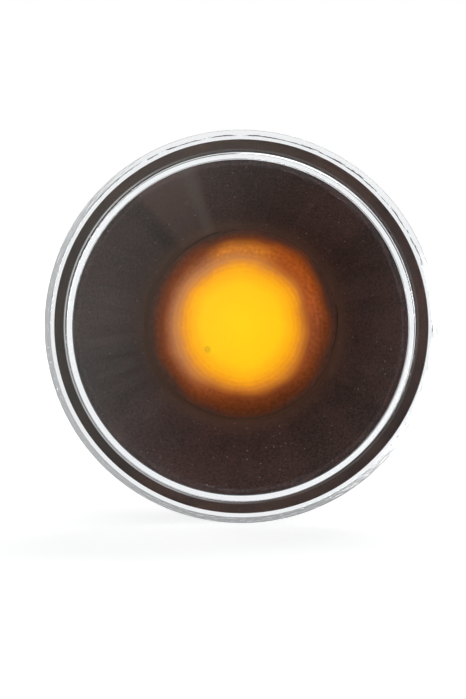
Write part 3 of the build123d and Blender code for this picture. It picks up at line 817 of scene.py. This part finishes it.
def makeCoilTree(p):
    tree = bpy.data.node_groups.new("filamentCoil", "GeometryNodeTree")
    for label in ("Coil Radius", "Wire Radius", "Turns", "Length", "Depth"):
        tree.interface.new_socket(label, in_out="INPUT", socket_type="NodeSocketFloat")
    tree.interface.new_socket("Finish", in_out="INPUT", socket_type="NodeSocketMaterial")
    tree.interface.new_socket("Geometry", in_out="OUTPUT", socket_type="NodeSocketGeometry")
    given = addNode(tree, "NodeGroupInput").outputs
    spiral = addNode(tree, "GeometryNodeCurveSpiral", {
        "Resolution": p["turnSteps"], "Rotations": given["Turns"], "Start Radius": given["Coil Radius"],
        "End Radius": given["Coil Radius"], "Height": given["Length"]})
    drop = addNode(tree, "ShaderNodeMath", {0: given["Length"], 1: -0.5}, operation="MULTIPLY")
    spot = addNode(tree, "ShaderNodeCombineXYZ", {"Y": given["Depth"], "Z": drop})
    placed = addNode(tree, "GeometryNodeTransform", {"Geometry": spiral, "Translation": spot})
    ring = addNode(tree, "GeometryNodeCurvePrimitiveCircle", {
        "Resolution": p["wireSides"], "Radius": given["Wire Radius"]})
    wire = addNode(tree, "GeometryNodeCurveToMesh", {
        "Curve": placed, "Profile Curve": ring, "Fill Caps": True})
    real = addNode(tree, "GeometryNodeRealizeInstances", {"Geometry": wire})
    done = addNode(tree, "GeometryNodeSetMaterial", {"Geometry": real, "Material": given["Finish"]})
    addNode(tree, "NodeGroupOutput", {"Geometry": done})
    return tree


# Makes a plain mesh from a node tree with its named inputs set
def meshFromTree(tree, values):
    holder = addObject("treeHolder", bpy.data.meshes.new("treeHolder"))
    modifier = holder.modifiers.new("tree", "NODES")
    modifier.node_group = tree
    for item in tree.interface.items_tree:
        if item.in_out == "INPUT" and item.name in values:
            modifier[item.identifier] = values[item.name]
    return frozenMesh(holder)


coilMesh = meshFromTree(makeCoilTree(coilPiece), {
    "Coil Radius": coilPiece["coil"] * mm, "Wire Radius": coilPiece["wire"] * mm,
    "Turns": float(coilPiece["turns"]), "Length": coilPiece["length"] * mm, "Depth": coilPiece["depth"] * mm,
    "Finish": tungstenCoil})
addPiece("filamentCoil", coilMesh, tungstenCoil, "bulb_unit", ["filament"],
         coilPiece["sharpAngle"])
print("filament made", len(coilMesh.polygons))


# Bulb holder, its seal and its contacts

holderPiece = dict(edge=0.2)
holderMesh = softenedMesh("bulb_holder", holderPiece["edge"])
addPiece("bulbHolder", holderMesh, greyNylon, "bulb_unit", ["bulb_holder"])

sealPiece = dict(inner=8.05, outer=11.2, front=25.85, rear=27.43, fillet=0.7, segments=128)
sealCorners = [(sealPiece[r], sealPiece[y], sealPiece["fillet"])
               for r, y in (("inner", "front"), ("outer", "front"), ("outer", "rear"), ("inner", "rear"))]
sealMesh = latheMesh(roundedOutline(sealCorners), sealPiece["segments"])
addPiece("holderSeal", sealMesh, sealRubber, "bulb_unit", ["holder_seal"])

contactPiece = dict(edge=0.08)
for side in ("left", "right"):
    contactMesh = softenedMesh("contact_" + side, contactPiece["edge"])
    addPiece("contact_" + side + "_strip", contactMesh, stampedBrass, "bulb_unit",
             ["contact_" + side])
print("bulb holder, seal and contacts made")


# Floor, world and lights

studio = dict(floorDrop=24.15, floorSize=4000, floorTone=0.5, nearLift=0.75, nearMm=50, farMm=300,
              worldTint="#eef2f6", lowLevel=0.5, highLevel=0.2, lowZ=-0.3, highZ=0.8,
              roomGlow=0.22, patchAngle=20, roomAngle=35, turn=0.15,
              veil=0.21, veilLeast=0.005, veilTint="#dafff6", veilToward=(-0.9, 0.0, 0.45), veilFrom=-0.005,
              veilTo=0.045,
              shades=[dict(toward=(0.8, 0.0, 0.6), start=0.008, end=0.09, least=0.49),
                      dict(toward=(1.0, 0.0, 0.0), start=0.045, end=0.1, least=0.53),
                      dict(toward=(0.0, 0.0, 1.0), start=0.03, end=0.1, least=0.38)],
              softboxes=[dict(name="softboxLeft", place=(-240, -670, 50), target=(0, 0, 0),
                              width=320, height=130, watts=2.2, tint="#fdfbf7"),
                         dict(name="softboxRight", place=(440, -480, 50), target=(0, 10, 0),
                              width=320, height=130, watts=2.2, tint="#f6f9ff"),
                         dict(name="softboxRear", place=(160, 520, 420), target=(0, 20, 0),
                              width=400, height=300, watts=2.4, tint="#ffffff"),
                         dict(name="softboxBack", place=(-480, 560, 160), target=(0, 20, 0),
                              width=320, height=260, watts=2.2, tint="#ffffff")])


# A matt floor that the camera sees as white, and less so under the lamp, where its shadow shows
def makeFloor(p):
    material, tree, place = startMaterial("paleFloor")
    path = addNode(tree, "ShaderNodeLightPath").outputs
    away = addNode(tree, "ShaderNodeVectorMath", {0: place}, operation="LENGTH").outputs["Value"]
    fade = addNode(tree, "ShaderNodeMapRange", {
        "Value": away, "From Min": p["nearMm"] * mm, "From Max": p["farMm"] * mm, "To Min": p["nearLift"],
        "To Max": 1.0})
    lift = addNode(tree, "ShaderNodeMath", {0: path["Is Camera Ray"], 1: fade}, operation="MULTIPLY")
    matt = addNode(tree, "ShaderNodeBsdfDiffuse", {"Color": grey(p["floorTone"])})
    bright = addNode(tree, "ShaderNodeEmission", {"Color": grey(1.0), "Strength": lift})
    both = addNode(tree, "ShaderNodeAddShader", {0: matt, 1: bright})
    addNode(tree, "ShaderNodeOutputMaterial", {"Surface": both})
    half = p["floorSize"] / 2 * mm
    z = -p["floorDrop"] * mm
    mesh = bpy.data.meshes.new("floor")
    corners = [(-half, -half, z), (half, -half, z), (half, half, z), (-half, half, z)]
    mesh.from_pydata(corners, [], [(0, 1, 2, 3)])
    mesh.materials.append(material)
    floor = addObject("floor", mesh)
    floor.visible_glossy = False  # gloss and clear plastic see the world's lower half instead
    floor.visible_transmission = False


# What gloss and clear plastic see: a white sweep behind the lamp that greys to the right and above, and on
# the camera's side a room with a dark patch round the camera, which a panel lightens from the left
def makeWorld(p):
    world = bpy.data.worlds.new("studioWorld")
    world.use_nodes = True
    tree = world.node_tree
    tree.nodes.clear()
    path = addNode(tree, "ShaderNodeLightPath").outputs
    way = addNode(tree, "ShaderNodeTexCoord").outputs["Generated"]
    parts = addNode(tree, "ShaderNodeSeparateXYZ", {0: way}).outputs
    ahead = parts["Y"]
    level = addNode(tree, "ShaderNodeMapRange", {
        "Value": parts["Z"], "From Min": p["lowZ"], "From Max": p["highZ"], "To Min": p["lowLevel"],
        "To Max": p["highLevel"]}, **smooth)

    rear = 1.0
    for shade in p["shades"]:
        aside = addNode(tree, "ShaderNodeVectorMath", {0: way, 1: shade["toward"]}, operation="DOT_PRODUCT")
        dimmed = addNode(tree, "ShaderNodeMapRange", {
            "Value": aside.outputs["Value"], "From Min": shade["start"], "From Max": shade["end"],
            "To Min": 1.0, "To Max": shade["least"]}, **smooth)
        rear = addNode(tree, "ShaderNodeMath", {0: dimmed, 1: rear}, operation="MINIMUM")

    lean = addNode(tree, "ShaderNodeVectorMath", {0: way, 1: p["veilToward"]}, operation="DOT_PRODUCT")
    panel = addNode(tree, "ShaderNodeMapRange", {
        "Value": lean.outputs["Value"], "From Min": p["veilFrom"], "From Max": p["veilTo"],
        "To Min": p["veilLeast"], "To Max": p["veil"]}, **smooth)
    beyond = addNode(tree, "ShaderNodeMapRange", {
        "Value": ahead, "From Min": -cos(radians(p["patchAngle"])),
        "From Max": -cos(radians(p["roomAngle"]))}, **smooth)
    front = addNode(tree, "ShaderNodeMix", {0: beyond, 2: panel, 3: p["roomGlow"]}, data_type="FLOAT")

    turn = addNode(tree, "ShaderNodeMapRange", {
        "Value": ahead, "From Min": -p["turn"], "From Max": p["turn"]}, **smooth)
    sweep = addNode(tree, "ShaderNodeMix", {0: turn, 2: front, 3: rear}, data_type="FLOAT")
    shiny = addNode(tree, "ShaderNodeMath", {
        0: path["Is Glossy Ray"], 1: path["Is Transmission Ray"]}, operation="MAXIMUM")
    room = addNode(tree, "ShaderNodeBackground", {"Color": linear(p["worldTint"]), "Strength": level})
    plain = addNode(tree, "ShaderNodeMath", {0: beyond, 1: turn}, operation="MAXIMUM")
    cast = addNode(tree, "ShaderNodeMix", {
        0: plain, 6: linear(p["veilTint"]), 7: grey(1.0)}, data_type="RGBA").outputs[2]
    backdrop = addNode(tree, "ShaderNodeBackground", {"Color": cast, "Strength": sweep})
    white = addNode(tree, "ShaderNodeBackground", {"Color": grey(1.0), "Strength": 1.0})
    first = addNode(tree, "ShaderNodeMixShader", {0: shiny, 1: room, 2: backdrop})
    last = addNode(tree, "ShaderNodeMixShader", {0: path["Is Camera Ray"], 1: first, 2: white})
    addNode(tree, "ShaderNodeOutputWorld", {"Surface": last})
    scene.world = world


def makeSoftbox(name, place, target, width, height, watts, tint):
    data = bpy.data.lights.new(name, "AREA")
    data.shape = "RECTANGLE"
    data.size, data.size_y = width * mm, height * mm
    data.energy = watts
    data.color = linear(tint)[:3]
    light = addObject(name, data)
    light.location = Vector(place) * mm
    light.rotation_euler = (Vector(target) * mm - light.location).to_track_quat("-Z", "Y").to_euler()


makeFloor(studio)
makeWorld(studio)
for softbox in studio["softboxes"]:
    makeSoftbox(**softbox)
print("studio made")


# Camera, placed so that the flange's centre falls where the photograph has it

shot = dict(azimuth=1.5, elevation=2.5, distance=450.0, pxPerMm=8.19, centrePx=(241.0, 326.8),
            frameMiddle=(233.0, 349.5), frameHeight=699, aim=(0.0, -2.5, 0.0), sensor=36.0, nearMm=10,
            farMm=20000)


def makeCamera(p):
    data = bpy.data.cameras.new("camera")
    data.sensor_width = p["sensor"]
    data.lens = p["pxPerMm"] * p["distance"] * p["sensor"] / p["frameHeight"]
    data.clip_start, data.clip_end = p["nearMm"] * mm, p["farMm"] * mm
    camera = addObject("camera", data)
    a, e = radians(p["azimuth"]), radians(p["elevation"])
    back = Vector((sin(a) * cos(e), -cos(a) * cos(e), sin(e)))
    turn = (-back).to_track_quat("-Z", "Y")
    right, up = turn @ Vector((1, 0, 0)), turn @ Vector((0, 1, 0))
    across = (p["frameMiddle"][0] - p["centrePx"][0]) / p["pxPerMm"]
    above = (p["centrePx"][1] - p["frameMiddle"][1]) / p["pxPerMm"]
    camera.location = (Vector(p["aim"]) + back * p["distance"] + right * across + up * above) * mm
    camera.rotation_euler = turn.to_euler()
    scene.camera = camera


makeCamera(shot)
scene.view_settings.view_transform = "Standard"
print("camera made")
